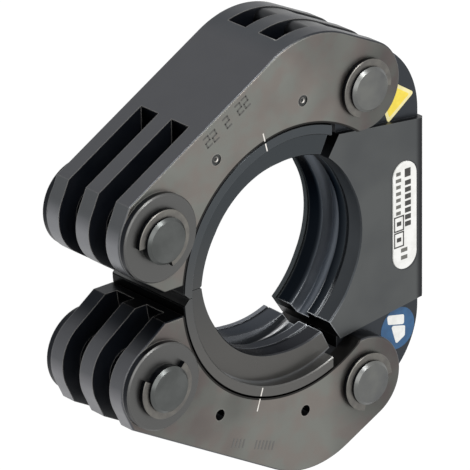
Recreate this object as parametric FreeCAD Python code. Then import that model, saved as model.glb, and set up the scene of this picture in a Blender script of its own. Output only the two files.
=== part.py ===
"""Press collar for 54 mm press fittings, lying on the rear ends of its four pins.

Two forked jaws swing on hinge pins in a bridge block.  Each jaw carries a sliding press
liner in a round seat, and the two liners and the block close into one round press bore.
A press tool grips the two hook pins, between the lugs, and pulls the jaws together.

Frame: origin on the bore axis, halfway through the collar.  +Z is the bore axis and points
to the front face, +X runs from the bore to the block, +Y to the upper jaw.  Millimetres.
"""
import FreeCAD, Part
import math
import os
from FreeCAD import Vector

# Press bore and liners
PRESS_RADIUS = 28.0          # smallest radius of the closed bore
LINER_WALL = 7.7             # liner's main band, from the bore to the step under its flange
LINER_FLANGE = 3.1           # flange that stands in the jaw's seat, measured radially
SEAT_CLEARANCE = 0.3         # running gap between flange and seat
LINER_SPLIT_GAP = 0.1        # each liner stops this short of the plane between the jaws
LINER_CORNER_CHAMFER = 1.9   # outer corner of the liner beside the mouth
LINER_NOTCH_CHAMFER = 0.6    # inner corner of the liner at the split
FLANGE_RIM_CHAMFER = 0.3
LINER_SLIDE_ANGLE = 1.5      # degrees that a liner slides in its seat
FLANGE_END_MARGIN = 2.2      # degrees left between flange and lug at the end of that slide

# Each press arc is full round in its middle and relieved towards its ends
FULL_ROUND_HALF_ANGLE = 28.0
RELIEF_SHIFT = 3.9           # centre of the relieved arc beyond the bore axis

# Press profile, as widths along the bore from the front edge, and depths under the lands
ENTRY_CHAMFER = (0.4, 0.3)
FRONT_LAND = 5.1
FINE_GROOVE = (0.8, 0.3)
MIDDLE_LAND = 3.1
BEAD_GROOVE = (6.7, 2.9)
REAR_LAND = 5.7
REAR_GROOVE = (0.8, 0.5)
REAR_CHAMFER = (0.4, 0.3)
GROOVE_FLANK = 0.35          # how far a groove's flanks lean, as a share of its depth

# Thickness of the collar and what is stacked in it
COLLAR_THICKNESS = 30.4
LUG_THICKNESS = 5.33         # three lugs and two slots make up the thickness
BLOCK_THICKNESS = 24.4       # also of the liners' main band
BLOCK_OFFSET = -0.72         # middle of the block behind the middle of the collar
TONGUE_SIDE_CLEARANCE = 0.15

# Hinge side of a jaw
HINGE_REACH = 11.75          # seat to hinge pin centre
HINGE_ANGLE = 59.3           # direction of the hinge pin from the bore axis, degrees
HINGE_PIN_RADIUS = 6.4
HINGE_RUNNING_CLEARANCE = 0.05
HINGE_LUG_WALL = 6.45        # lug around the hinge pin
JAW_OPENING = 28.0           # degrees that each jaw swings open

# Mouth side of a jaw
HOOK_REACH = 13.6            # seat to hook pin centre
HOOK_ANGLE = 155.8
HOOK_PIN_RADIUS = 6.6
HOOK_LUG_WALL = 6.2
HOOK_SLOT_DEPTH = 16.4       # hook pin centre to the end wall of the slots
SEAT_WALL = 2.6              # jaw wall left between the slots and the liner seat
MOUTH_HALF_GAP = 4.3         # jaw end to the plane between the jaws
MOUTH_FLAT_OFFSET = 2.6      # where the jaw's end face turns up to the lug, beside the hook pin
BOSS_MARGIN = 0.3            # the boss is this much smaller than the lug
BOSS_HEIGHT = 2.1
BOSS_RIM_CHAMFER = 0.4

# Outer form of a jaw
BACK_ANGLE = 29.15           # slope of the long straight back, degrees
BACK_OFFSET = 13.95          # hook pin centre to the back
BACK_END_SETBACK = 9.0       # the back ends this far outside the hook pin centre
HUMP_RADIUS = 28.0
HUMP_SETBACK = 19.1          # hump centre beside the hinge pin
RIM_FILLET = 0.7

# Bridge block
BLOCK_HALF_ANGLE = 56.65     # end faces of the block, seen from the bore axis
BLOCK_GAP_ANGLE = 6.85       # gap between block and liner
LEDGE_ANGLE = 6.85           # slope of the two ledges under the jaws
LEDGE_GAP = 1.05             # ledge to hinge lugs
BLOCK_OVERHANG = 25.7        # hinge pin centre to the block's outer face
BLOCK_EDGE_CHAMFER = 1.3

# Tongues of the block, two up and two down, and the fingers that stop the jaws
HUB_RADIUS = 11.5
HUB_CLEARANCE = 0.5
TONGUE_SETBACK = 1.4         # outer edge of the tongues behind the block's outer face
SHOULDER_RADIUS = 24.0
SHOULDER_DROP = 14.5         # shoulder centre below the hinge pin
FINGER_SINK = 0.35           # finger below the jaw's hump
FINGER_DEPTH = 6.0
FINGER_END_ANGLE = 80.4      # where the finger ends, seen from the hump centre
FINGER_CLEARANCE = 0.35
WINDOW_LENGTH = 8.8          # open slot ahead of the finger's tip
TONGUE_ROOT = 3.0            # tongue carried down inside the block
WEB_CUT_ANGLE = 218.0        # direction from the hinge pin where the jaw's web is cut square

# Pins and their snap rings
PIN_PROUD = 3.05             # beyond the jaw's face, or beyond the boss of a hook pin
PIN_CHAMFER = 0.8
PIN_SEAT_GAP = 0.02
RING_THICKNESS = 1.55
RING_RIM = 2.0               # ring beyond the pin, lying on the face around it
RING_BITE = 0.45             # ring's depth in the pin's groove
RING_RIM_CHAMFER = 0.2
RING_SEAT_GAP = 0.02
RING_GAP_ANGLE = 105.0       # opening of a snap ring
RING_GAP_DIRECTIONS = {      # where the front and rear ring of each pin are open
    "upper_hook": (235.0, 80.0),
    "lower_hook": (97.0, 200.0),
    "upper_hinge": (300.0, 60.0),
    "lower_hinge": (310.0, 150.0),
}

# Liner keepers: hammer head studs in the jaws, each locked by a cross dowel
KEEPER_ANGLES = (85.25, 125.6)
DOWEL_REACH = 6.95           # seat to dowel centre
DOWEL_RADIUS = 1.6
DOWEL_PAST_KEEPER = 1.6      # dowel's rear end beyond the keeper that it locks
UPPER_DOWEL_SINK = 0.3       # front end below the jaw's face
LOWER_DOWEL_SINK = 2.6
DOWEL_SEAT_GAP = 0.01
KEEPER_BODY_RADIUS = 3.2
KEEPER_BODY_TOP = 1.8        # stud beyond the dowel's centre
KEEPER_NECK_RADIUS = 1.8
KEEPER_HEAD = (3.4, 5.6, 1.6)    # along the seat, along the bore, radially
KEEPER_HEAD_SINK = 2.6       # top of the head under the seat
KEEPER_GAP = 0.35            # around neck and head in the liner's slot

# What follows from the sizes above
HALF = COLLAR_THICKNESS / 2
BLOCK_FRONT = BLOCK_OFFSET + BLOCK_THICKNESS / 2
BLOCK_REAR = BLOCK_OFFSET - BLOCK_THICKNESS / 2
SLOT_WIDTH = (COLLAR_THICKNESS - 3 * LUG_THICKNESS) / 2
SLOT_CENTRES = (-(LUG_THICKNESS + SLOT_WIDTH) / 2, (LUG_THICKNESS + SLOT_WIDTH) / 2)
STEP_RADIUS = PRESS_RADIUS + LINER_WALL
LINER_RADIUS = STEP_RADIUS + LINER_FLANGE
SEAT_RADIUS = LINER_RADIUS + SEAT_CLEARANCE
HINGE_LUG_RADIUS = HINGE_PIN_RADIUS + HINGE_LUG_WALL
HOOK_LUG_RADIUS = HOOK_PIN_RADIUS + HOOK_LUG_WALL
BOSS_RADIUS = HOOK_LUG_RADIUS - BOSS_MARGIN
HUB_POCKET_RADIUS = HUB_RADIUS + HUB_CLEARANCE
LINER_END_ANGLE = BLOCK_HALF_ANGLE + BLOCK_GAP_ANGLE
LINER_MIDDLE_ANGLE = (LINER_END_ANGLE + 180) / 2
HOOK_FACE = HALF + BOSS_HEIGHT
REAR_PLANE = -HOOK_FACE - PIN_PROUD
FAR = 4 * (SEAT_RADIUS + HOOK_REACH)     # beyond everything, for cutting tools
PAST = 1.0                   # how far a cutting tool runs past the face that it opens
TOUCH = 0.01                 # two places this close count as one


def polar(radius, angle, centre=Vector(0, 0, 0)):
    """Point at a distance and direction (degrees) from a centre."""
    turn = math.radians(angle)
    return centre + Vector(radius * math.cos(turn), radius * math.sin(turn), 0)


def direction(start, end):
    """Direction from one point to another, in degrees."""
    return math.degrees(math.atan2(end.y - start.y, end.x - start.x))


def outer_tangent(centre_a, radius_a, centre_b, radius_b):
    """Touching points of the tangent on the left, going from circle A to circle B."""
    distance = centre_a.distanceToPoint(centre_b)
    lean = math.degrees(math.acos((radius_a - radius_b) / distance))
    normal = direction(centre_a, centre_b) + lean
    return polar(radius_a, normal, centre_a), polar(radius_b, normal, centre_b)


def circle_meeting_angle(radius_a, radius_b, distance):
    """Angle at centre A between the centre line and the point where both circles meet."""
    cosine = (radius_a**2 + distance**2 - radius_b**2) / (2 * radius_a * distance)
    return math.degrees(math.acos(cosine))


def relief_radius():
    """Radius of a relieved arc: it meets the press radius where the full round part ends."""
    turn = math.radians(FULL_ROUND_HALF_ANGLE)
    square = PRESS_RADIUS**2 + RELIEF_SHIFT**2 + 2 * PRESS_RADIUS * RELIEF_SHIFT * math.cos(turn)
    return math.sqrt(square)


def relieved_radius_at(angle):
    """Distance of a relieved arc from the bore axis, at an angle from the arc's middle."""
    turn = math.radians(angle)
    return math.sqrt(relief_radius()**2 - (RELIEF_SHIFT * math.sin(turn))**2) - RELIEF_SHIFT * math.cos(turn)


def line(start, end):
    return Part.LineSegment(start, end).toShape()


def arc(centre, start, end, clockwise=True):
    """Arc about a centre between two points that lie on it."""
    first = direction(centre, start)
    sweep = (direction(centre, end) - first) % 360
    if clockwise:
        sweep -= 360
    middle = polar(centre.distanceToPoint(start), first + sweep / 2, centre)
    return Part.Arc(start, middle, end).toShape()


def prism(edges, low, high):
    """Solid between two heights over a closed outline."""
    face = Part.Face(Part.Wire(edges))
    return face.translated(Vector(0, 0, low)).extrude(Vector(0, 0, high - low))


def disc(radius, low, high, centre=Vector(0, 0, 0)):
    return Part.makeCylinder(radius, high - low, Vector(centre.x, centre.y, low))


def box(left, right, bottom, top, low, high):
    return Part.makeBox(right - left, top - bottom, high - low, Vector(left, bottom, low))


def ring_sector(inner, outer, low, high, first, last):
    """Part of a flat ring between two directions."""
    height = high - low
    wedge = Part.makeCylinder(outer, height, Vector(0, 0, low), Vector(0, 0, 1), last - first)
    wedge.rotate(Vector(0, 0, 0), Vector(0, 0, 1), first)
    return wedge.cut(disc(inner, low - PAST, high + PAST))


def level_edges(solid):
    """Edges that lie in a plane across the bore axis."""
    return [edge for edge in solid.Edges if edge.BoundBox.ZLength < TOUCH]


def arc_edges(solid, radius):
    """Circular edges of a given radius."""
    return [edge for edge in solid.Edges
            if isinstance(edge.Curve, Part.Circle) and abs(edge.Curve.Radius - radius) < TOUCH]


def mirrored(shape):
    """The lower counterpart of an upper piece."""
    return shape.mirror(Vector(0, 0, 0), Vector(0, 1, 0))


def in_slots(half_width, make):
    """One solid in each of the two slots, made by a function of its lower and upper height."""
    solids = [make(centre - half_width, centre + half_width) for centre in SLOT_CENTRES]
    return solids[0].fuse(solids[1])


HINGE = polar(SEAT_RADIUS + HINGE_REACH, HINGE_ANGLE)
HOOK = polar(SEAT_RADIUS + HOOK_REACH, HOOK_ANGLE)
BACK_NORMAL = BACK_ANGLE + 90
BACK_DISTANCE = HOOK.dot(polar(1, BACK_NORMAL)) + BACK_OFFSET


def on_back(x):
    """Point of the straight back at a given x."""
    normal = polar(1, BACK_NORMAL)
    return Vector(x, (BACK_DISTANCE - x * normal.x) / normal.y, 0)


def hump_centre():
    """Centre of the hump, which is tangent to the straight back."""
    normal = polar(1, BACK_NORMAL)
    x = HINGE.x - HUMP_SETBACK
    return Vector(x, (BACK_DISTANCE - HUMP_RADIUS - x * normal.x) / normal.y, 0)


HUMP = hump_centre()
BLOCK_RIGHT = HINGE.x + BLOCK_OVERHANG
TONGUE_RIGHT = BLOCK_RIGHT - TONGUE_SETBACK
SHOULDER = Vector(TONGUE_RIGHT - SHOULDER_RADIUS, HINGE.y - SHOULDER_DROP, 0)


def finger_cap_centre():
    """Centre of the round tip of a finger."""
    return polar(HUMP_RADIUS - FINGER_SINK - FINGER_DEPTH / 2, FINGER_END_ANGLE, HUMP)


def stop_floor():
    """Height of the slot floor that the finger reaches when the jaw is fully open."""
    cap = finger_cap_centre()
    swung = direction(HINGE, cap) + JAW_OPENING
    return polar(HINGE.distanceToPoint(cap), swung, HINGE).y - FINGER_DEPTH / 2 - FINGER_CLEARANCE


def jaw_outline():
    """Upper jaw seen along the bore, clockwise from inside the liner seat, which is cut later."""
    inner_corner = Vector(0, MOUTH_HALF_GAP, 0)
    mouth_corner = Vector(HOOK.x + MOUTH_FLAT_OFFSET, MOUTH_HALF_GAP, 0)
    back_corner = on_back(HOOK.x - BACK_END_SETBACK)
    lug_start = outer_tangent(mouth_corner, 0, HOOK, HOOK_LUG_RADIUS)[1]
    lug_end = outer_tangent(HOOK, HOOK_LUG_RADIUS, back_corner, 0)[0]
    hump_start = polar(HUMP_RADIUS, BACK_NORMAL, HUMP)
    hump_end, hinge_start = outer_tangent(HUMP, HUMP_RADIUS, HINGE, HINGE_LUG_RADIUS)
    hinge_inner = polar(SEAT_RADIUS + HINGE_REACH - HINGE_LUG_RADIUS, HINGE_ANGLE)
    return [
        line(inner_corner, mouth_corner),
        line(mouth_corner, lug_start),
        arc(HOOK, lug_start, lug_end),
        line(lug_end, back_corner),
        line(back_corner, hump_start),
        arc(HUMP, hump_start, hump_end),
        line(hump_end, hinge_start),
        arc(HINGE, hinge_start, hinge_inner),
        line(hinge_inner, inner_corner),
    ]


def rim_edges(solid):
    """Edges around the two faces of the jaw, apart from those that lie inside the liner seat."""
    rim = []
    for edge in solid.Edges:
        on_face = edge.BoundBox.ZLength < TOUCH and abs(edge.BoundBox.ZMax) > HALF - TOUCH
        if on_face and max(vertex.Point.distanceToPoint(Vector(0, 0, vertex.Z))
                           for vertex in edge.Vertexes) > SEAT_RADIUS:
            rim.append(edge)
    return rim


def hinge_slots():
    """Slots that take the block's tongues: hub pocket, stop pocket and the open right side."""
    floor = stop_floor()
    tip = finger_cap_centre().x - FINGER_DEPTH / 2
    web_corner = polar(HUB_POCKET_RADIUS, WEB_CUT_ANGLE, HINGE)

    def make(low, high):
        pocket = disc(HUB_POCKET_RADIUS, low, high, HINGE)
        stop = box(tip - WINDOW_LENGTH, FAR, floor, FAR, low, high)
        side = box(HINGE.x, FAR, -FAR, FAR, low, high)
        below = box(web_corner.x, FAR, -FAR, web_corner.y, low, high)
        return pocket.fuse([stop, side, below])

    return in_slots(SLOT_WIDTH / 2, make)


def hook_slots():
    """Slots for the hooks of the press tool, open at the mouth and at the back."""

    def make(low, high):
        open_side = box(-FAR, HOOK.x + HOOK_SLOT_DEPTH, -FAR, FAR, low, high)
        return open_side.cut(disc(SEAT_RADIUS + SEAT_WALL, low - PAST, high + PAST))

    return in_slots(SLOT_WIDTH / 2, make)


def jaw(dowel_sink):
    """Upper jaw: a thick plate, slotted at both ends, with bosses around the hook pin."""
    plate = prism(jaw_outline(), -HALF, HALF)
    plate = plate.makeFillet(RIM_FILLET, rim_edges(plate))
    plate = plate.cut(disc(SEAT_RADIUS, -FAR, FAR))
    boss = disc(BOSS_RADIUS, -HOOK_FACE, HOOK_FACE, HOOK)
    boss = boss.makeChamfer(BOSS_RIM_CHAMFER, level_edges(boss))
    body = plate.fuse(boss).cut([hinge_slots(), hook_slots()])
    cuts = [
        disc(HOOK_PIN_RADIUS + PIN_SEAT_GAP, -FAR, FAR, HOOK),
        disc(HINGE_PIN_RADIUS + HINGE_RUNNING_CLEARANCE, -FAR, FAR, HINGE),
    ]
    for angle in KEEPER_ANGLES:
        cuts.append(keeper_bore(angle))
        cuts.append(dowel(angle, dowel_sink, to_face=True))
    return body.cut(cuts).removeSplitter()


def keeper_bore(angle):
    """Radial blind bore that a keeper's body fills."""
    top = SEAT_RADIUS + DOWEL_REACH + KEEPER_BODY_TOP
    bore = Part.makeCylinder(KEEPER_BODY_RADIUS + DOWEL_SEAT_GAP, top - STEP_RADIUS,
                             Vector(STEP_RADIUS, 0, 0), Vector(1, 0, 0))
    bore.rotate(Vector(0, 0, 0), Vector(0, 0, 1), angle)
    return bore


def dowel(angle, sink, to_face=False):
    """Cross dowel of a keeper, or with to_face the hole that it is pressed into."""
    centre = polar(SEAT_RADIUS + DOWEL_REACH, angle)
    rear = -KEEPER_BODY_RADIUS - DOWEL_PAST_KEEPER
    if to_face:
        return disc(DOWEL_RADIUS + DOWEL_SEAT_GAP, rear, FAR, centre)
    return disc(DOWEL_RADIUS, rear, HALF - sink, centre)


def keeper(angle, dowel_sink):
    """Hammer head stud that holds a liner in its seat and lets it slide a little."""
    along, wide, deep = KEEPER_HEAD
    head_top = SEAT_RADIUS - KEEPER_HEAD_SINK
    body_top = SEAT_RADIUS + DOWEL_REACH + KEEPER_BODY_TOP
    outward = Vector(1, 0, 0)
    head = Part.makeBox(deep, along, wide, Vector(head_top - deep, -along / 2, -wide / 2))
    body_start = SEAT_RADIUS + SEAT_CLEARANCE
    neck = Part.makeCylinder(KEEPER_NECK_RADIUS, body_start - head_top, Vector(head_top, 0, 0), outward)
    body = Part.makeCylinder(KEEPER_BODY_RADIUS, body_top - body_start, Vector(body_start, 0, 0), outward)
    stud = head.fuse([neck, body])
    stud.rotate(Vector(0, 0, 0), Vector(0, 0, 1), angle)
    return stud.cut(dowel(angle, dowel_sink, to_face=True)).removeSplitter()


def keeper_slot(angle):
    """T slot in the liner's back, as long as the liner's slide needs."""
    along, wide, deep = KEEPER_HEAD
    head_top = SEAT_RADIUS - KEEPER_HEAD_SINK
    widest = max(KEEPER_NECK_RADIUS * 2, along) / 2 + KEEPER_GAP
    reach = math.degrees(widest / (head_top - deep))
    first, last = angle - reach, angle + reach + LINER_SLIDE_ANGLE
    neck_half = KEEPER_NECK_RADIUS + KEEPER_GAP
    head_half = wide / 2 + KEEPER_GAP
    neck = ring_sector(head_top, SEAT_RADIUS, -neck_half, neck_half, first, last)
    head = ring_sector(head_top - deep - KEEPER_GAP, head_top + KEEPER_GAP,
                       -head_half, head_half, first, last)
    return neck.fuse(head)


def turned_core(radius):
    """Everything inside the press profile with its lands at a given radius, about the bore axis."""
    depth = BLOCK_FRONT
    points = [Vector(0, 0, HALF + PAST), Vector(radius + ENTRY_CHAMFER[1], 0, HALF + PAST),
              Vector(radius + ENTRY_CHAMFER[1], 0, depth)]

    def land(width):
        nonlocal depth
        depth -= width
        points.append(Vector(radius, 0, depth))

    def groove(size):
        nonlocal depth
        width, sunk = size
        flank = sunk * GROOVE_FLANK
        points.append(Vector(radius + sunk, 0, depth - flank))
        depth -= width
        points.append(Vector(radius + sunk, 0, depth + flank))
        points.append(Vector(radius, 0, depth))

    land(ENTRY_CHAMFER[0])
    land(FRONT_LAND)
    groove(FINE_GROOVE)
    land(MIDDLE_LAND)
    groove(BEAD_GROOVE)
    land(REAR_LAND)
    groove(REAR_GROOVE)
    points.append(Vector(radius, 0, BLOCK_REAR + REAR_CHAMFER[0]))
    points.append(Vector(radius + REAR_CHAMFER[1], 0, BLOCK_REAR))
    points.append(Vector(radius + REAR_CHAMFER[1], 0, -HALF - PAST))
    points.append(Vector(0, 0, -HALF - PAST))
    outline = Part.makePolygon(points + [points[0]])
    return Part.Face(outline).revolve(Vector(0, 0, 0), Vector(0, 0, 1), 360)


def press_cores(middle_angle):
    """The two turned forms that cut a press arc: the bore, and the relief towards the arc's ends."""
    relief = turned_core(relief_radius())
    relief.translate(polar(-RELIEF_SHIFT, middle_angle))
    return [turned_core(PRESS_RADIUS), relief]


def liner():
    """Upper press liner: the press band, and the flange that slides in the jaw's seat."""
    lug_spread = circle_meeting_angle(LINER_RADIUS, HINGE_LUG_RADIUS, SEAT_RADIUS + HINGE_REACH)
    flange_end = HINGE_ANGLE + lug_spread + LINER_SLIDE_ANGLE + FLANGE_END_MARGIN
    flange_end_x = LINER_RADIUS * math.cos(math.radians(flange_end))
    band = ring_sector(PRESS_RADIUS - PAST, STEP_RADIUS, BLOCK_REAR, BLOCK_FRONT, LINER_END_ANGLE, 180)
    flange = ring_sector(STEP_RADIUS, LINER_RADIUS, -HALF, HALF, HINGE_ANGLE, 180)
    flange = flange.makeChamfer(FLANGE_RIM_CHAMFER,
                                arc_edges(flange, STEP_RADIUS) + arc_edges(flange, LINER_RADIUS))
    flange = flange.cut(box(flange_end_x, FAR, 0, FAR, -HALF - PAST, HALF + PAST))
    inner_end = relieved_radius_at(180 - LINER_MIDDLE_ANGLE)
    cuts = press_cores(LINER_MIDDLE_ANGLE) + [keeper_slot(angle) for angle in KEEPER_ANGLES]
    cuts += [
        box(-FAR, FAR, -FAR, LINER_SPLIT_GAP, -HALF - PAST, HALF + PAST),
        corner_wedge(-LINER_RADIUS, LINER_CORNER_CHAMFER, -1),
        corner_wedge(-inner_end, LINER_NOTCH_CHAMFER, 1),
    ]
    return band.fuse(flange).cut(cuts).removeSplitter()


def corner_wedge(x, size, outward):
    """Wedge that takes off a liner's corner at the split; outward is -1 or 1, along X."""
    on_split = Vector(x - outward * size, LINER_SPLIT_GAP, 0)
    on_wall = Vector(x, LINER_SPLIT_GAP + size, 0)
    beyond = Vector(outward * PAST, -PAST, 0) * size
    edges = [line(on_split, on_wall), line(on_wall, on_wall + beyond),
             line(on_wall + beyond, on_split + beyond), line(on_split + beyond, on_split)]
    return prism(edges, -HALF - PAST, HALF + PAST)


def ledge_height(x):
    """Upper ledge of the block at a given x: it runs just under the hinge lugs."""
    normal = polar(1, 90 - LEDGE_ANGLE)
    offset = HINGE.dot(normal) - HINGE_LUG_RADIUS - LEDGE_GAP
    return (offset - x * normal.x) / normal.y


def ledge_start():
    """Inner corner of the block, where a radial end face meets the ledge."""
    run = polar(1, BLOCK_HALF_ANGLE)
    normal = polar(1, 90 - LEDGE_ANGLE)
    offset = HINGE.dot(normal) - HINGE_LUG_RADIUS - LEDGE_GAP
    return run * (offset / run.dot(normal))


def block_core():
    """Block without its tongues."""
    inner = polar(PRESS_RADIUS - PAST, BLOCK_HALF_ANGLE)
    ledge = ledge_start()
    corner = Vector(BLOCK_RIGHT, ledge_height(BLOCK_RIGHT), 0)
    upper = [inner, ledge, corner]
    lower = [Vector(point.x, -point.y, 0) for point in reversed(upper)]
    points = upper + lower
    edges = [line(start, end) for start, end in zip(points, points[1:])]
    edges.append(arc(Vector(0, 0, 0), points[-1], points[0], clockwise=False))
    solid = prism(edges, BLOCK_REAR, BLOCK_FRONT)
    outer = [edge for edge in level_edges(solid) if edge.BoundBox.XMin > BLOCK_RIGHT - TOUCH]
    return solid.makeChamfer(BLOCK_EDGE_CHAMFER, outer)


def tongue_outline():
    """Upper tongue apart from its round hub: neck, shoulder, and the finger that stops the jaw."""
    outer_radius = HUMP_RADIUS - FINGER_SINK
    inner_radius = outer_radius - FINGER_DEPTH
    finger_start, shoulder_end = outer_tangent(HUMP, outer_radius, SHOULDER, SHOULDER_RADIUS)
    normal = direction(HUMP, finger_start)
    cap = finger_cap_centre()
    cap_inner = polar(inner_radius, FINGER_END_ANGLE, HUMP)
    cap_outer = polar(outer_radius, FINGER_END_ANGLE, HUMP)
    inner_start = polar(inner_radius, normal, HUMP)
    inside_hub = polar((inner_start - HINGE).dot(polar(1, normal)), normal, HINGE)
    neck_x = ledge_start().x
    root = ledge_height(BLOCK_RIGHT) - TONGUE_ROOT
    neck_top = Vector(neck_x, HINGE.y, 0)
    neck_root = Vector(neck_x, root, 0)
    outer_root = Vector(TONGUE_RIGHT, root, 0)
    shoulder_start = Vector(TONGUE_RIGHT, SHOULDER.y, 0)
    return [
        line(neck_root, neck_top),
        line(neck_top, inside_hub),
        line(inside_hub, inner_start),
        arc(HUMP, inner_start, cap_inner, clockwise=False),
        arc(cap, cap_inner, cap_outer),
        arc(HUMP, cap_outer, finger_start),
        line(finger_start, shoulder_end),
        arc(SHOULDER, shoulder_end, shoulder_start),
        line(shoulder_start, outer_root),
        line(outer_root, neck_root),
    ]


def tongue(low, high):
    """Upper tongue between two heights, with its round hub about the hinge pin."""
    return prism(tongue_outline(), low, high).fuse(disc(HUB_RADIUS, low, high, HINGE))


def bridge_block():
    """Block with its press arc and four tongues, bored for the hinge pins."""
    tongues = in_slots(SLOT_WIDTH / 2 - TONGUE_SIDE_CLEARANCE, tongue)
    bore = disc(HINGE_PIN_RADIUS + PIN_SEAT_GAP, -FAR, FAR, HINGE)
    solid = block_core().fuse([tongues, mirrored(tongues)])
    return solid.cut(press_cores(0) + [bore, mirrored(bore)]).removeSplitter()


def pin(radius, centre, face):
    """Pin with chamfered ends and a square groove for the snap ring at each face."""
    solid = disc(radius, REAR_PLANE, face + PIN_PROUD, centre)
    solid = solid.makeChamfer(PIN_CHAMFER, level_edges(solid))
    floor = radius - RING_BITE - RING_SEAT_GAP
    width = RING_THICKNESS + 2 * RING_SEAT_GAP
    grooves = [disc(radius + PAST, low, low + width, centre).cut(disc(floor, low, low + width, centre))
               for low in (face, -face - width)]
    return solid.cut(grooves)


def snap_ring(radius, centre, low, gap_direction):
    """Flat snap ring that lies on the face around a pin, open towards a given direction."""
    outer = radius + RING_RIM
    first = gap_direction + RING_GAP_ANGLE / 2
    ring = ring_sector(radius - RING_BITE, outer, low, low + RING_THICKNESS,
                       first, first + 360 - RING_GAP_ANGLE)
    ring = ring.makeChamfer(RING_RIM_CHAMFER, arc_edges(ring, outer))
    return ring.translated(centre)


def below(centre):
    """The same place in the lower half."""
    return Vector(centre.x, -centre.y, 0)


def build_pieces():
    """All pieces by node name."""
    pieces = {
        "bridge_block": bridge_block(),
        "upper_jaw": jaw(UPPER_DOWEL_SINK),
        "lower_jaw": mirrored(jaw(LOWER_DOWEL_SINK)),
        "upper_liner": liner(),
        "lower_liner": mirrored(liner()),
    }
    kinds = {"hook": (HOOK, HOOK_PIN_RADIUS, HOOK_FACE), "hinge": (HINGE, HINGE_PIN_RADIUS, HALF)}
    for side, place in (("upper", lambda point: point), ("lower", below)):
        for kind, (centre, radius, face) in kinds.items():
            name = f"{side}_{kind}"
            pieces[f"{name}_pin"] = pin(radius, place(centre), face)
            lows = (face + RING_SEAT_GAP, -face - RING_SEAT_GAP - RING_THICKNESS)
            for end, low, gap in zip(("front", "rear"), lows, RING_GAP_DIRECTIONS[name]):
                pieces[f"{name}_ring_{end}"] = snap_ring(radius, place(centre), low, gap)
    for number, angle in enumerate(KEEPER_ANGLES, start=1):
        pieces[f"upper_keeper_{number}"] = keeper(angle, UPPER_DOWEL_SINK)
        pieces[f"upper_dowel_{number}"] = dowel(angle, UPPER_DOWEL_SINK)
        pieces[f"lower_keeper_{number}"] = mirrored(keeper(angle, LOWER_DOWEL_SINK))
        pieces[f"lower_dowel_{number}"] = mirrored(dowel(angle, LOWER_DOWEL_SINK))
    return pieces


def main():
    os.makedirs("parts", exist_ok=True)
    for name, shape in build_pieces().items():
        shape.exportStep(f"parts/{name}.step")
        print(f"{name:24s} solids {len(shape.Solids)}  valid {shape.isValid()}  volume {shape.Volume:9.1f}")


main()
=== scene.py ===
# %% [markdown]
# # A press collar in dark burnished steel
# A press collar is the loop of steel that a pressing tool closes around a tube fitting.
# Two forked jaws swing on pins in a bridge block, and two liners and the block carry the
# round press profile.  The solids come ready made from the frame, at their real size.
# This lesson gives them their finishes, adds the labels and marks, and lights them.
#
# The collar lies on the ends of its pins.  The photograph shows it upright, so the camera
# looks down on it, turned until the picture matches.

import math

import bmesh
import bpy
from mathutils import Matrix, Vector


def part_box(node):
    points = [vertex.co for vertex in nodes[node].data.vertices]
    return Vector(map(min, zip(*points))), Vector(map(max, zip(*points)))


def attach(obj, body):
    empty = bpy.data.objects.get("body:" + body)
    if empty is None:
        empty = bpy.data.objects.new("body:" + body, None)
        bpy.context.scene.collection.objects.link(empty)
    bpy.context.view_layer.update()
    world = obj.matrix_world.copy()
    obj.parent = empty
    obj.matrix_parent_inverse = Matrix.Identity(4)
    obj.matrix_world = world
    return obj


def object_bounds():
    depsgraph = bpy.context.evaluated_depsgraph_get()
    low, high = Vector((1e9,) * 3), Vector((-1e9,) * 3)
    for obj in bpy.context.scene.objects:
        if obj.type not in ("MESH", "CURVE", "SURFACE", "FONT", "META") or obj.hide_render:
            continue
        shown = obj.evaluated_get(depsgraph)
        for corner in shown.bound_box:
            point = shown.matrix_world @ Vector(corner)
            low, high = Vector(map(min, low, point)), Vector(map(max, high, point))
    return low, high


MM = 0.001                       # the frame is in metres, the sizes here are in millimetres
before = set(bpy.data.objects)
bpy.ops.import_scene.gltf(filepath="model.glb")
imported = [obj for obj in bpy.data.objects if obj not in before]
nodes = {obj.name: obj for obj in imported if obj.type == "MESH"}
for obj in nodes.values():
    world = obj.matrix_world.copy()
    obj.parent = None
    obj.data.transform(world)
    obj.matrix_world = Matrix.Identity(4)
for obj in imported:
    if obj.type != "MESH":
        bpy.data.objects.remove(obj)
cad_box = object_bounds()
print("pieces in the frame:", len(nodes))
print("overall size in mm:", [round((high - low) / MM, 1) for low, high in zip(*cad_box)])

# %% [markdown]
# ## Places that everything else is worked out from
# The bore axis is the Z axis of the frame, so a place on a face is a distance and a direction
# from it.  The heights below are those of the faces that carry a label or a mark, and the
# radii are those of the liner's step and of the seat that it slides in.

# %% Heights and radii of the faces, in millimetres
JAW_FACE = 15.2
BLOCK_FACE = 11.48
TONGUE_FACE = 9.715              # front face of the front tongues
STEP_RADIUS = 35.7
FLANGE_RADIUS = 38.8
SEAT_RADIUS = 39.1
FLOOR = cad_box[0].z / MM

# %% [markdown]
# ## The camera
# The photograph was taken with a long lens from the collar's front left, a little above it.
# Its place was found by fitting a camera to about a hundred points of the photograph.  The
# angles below belong to the standing collar, and one change of axes lays the camera down
# with it: the standing collar's up is the frame's +Y, and its front is the frame's +Z.

# %% Camera
VIEW_AZIMUTH = -40.397           # degrees round the standing collar, 0 looks at its front
VIEW_ELEVATION = 23.733
VIEW_ROLL = -0.778
VIEW_DISTANCE = 1569.3           # millimetres
VIEW_TARGET = Vector((-7.769, 5.134, 0.0))
SENSOR = 36.0
LENS = 443.36
CLIP = (0.05, 20.0)              # metres


def lie_down(vector):
    """From the standing collar's axes to the frame's axes."""
    return Vector((vector.x, vector.z, -vector.y))


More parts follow.
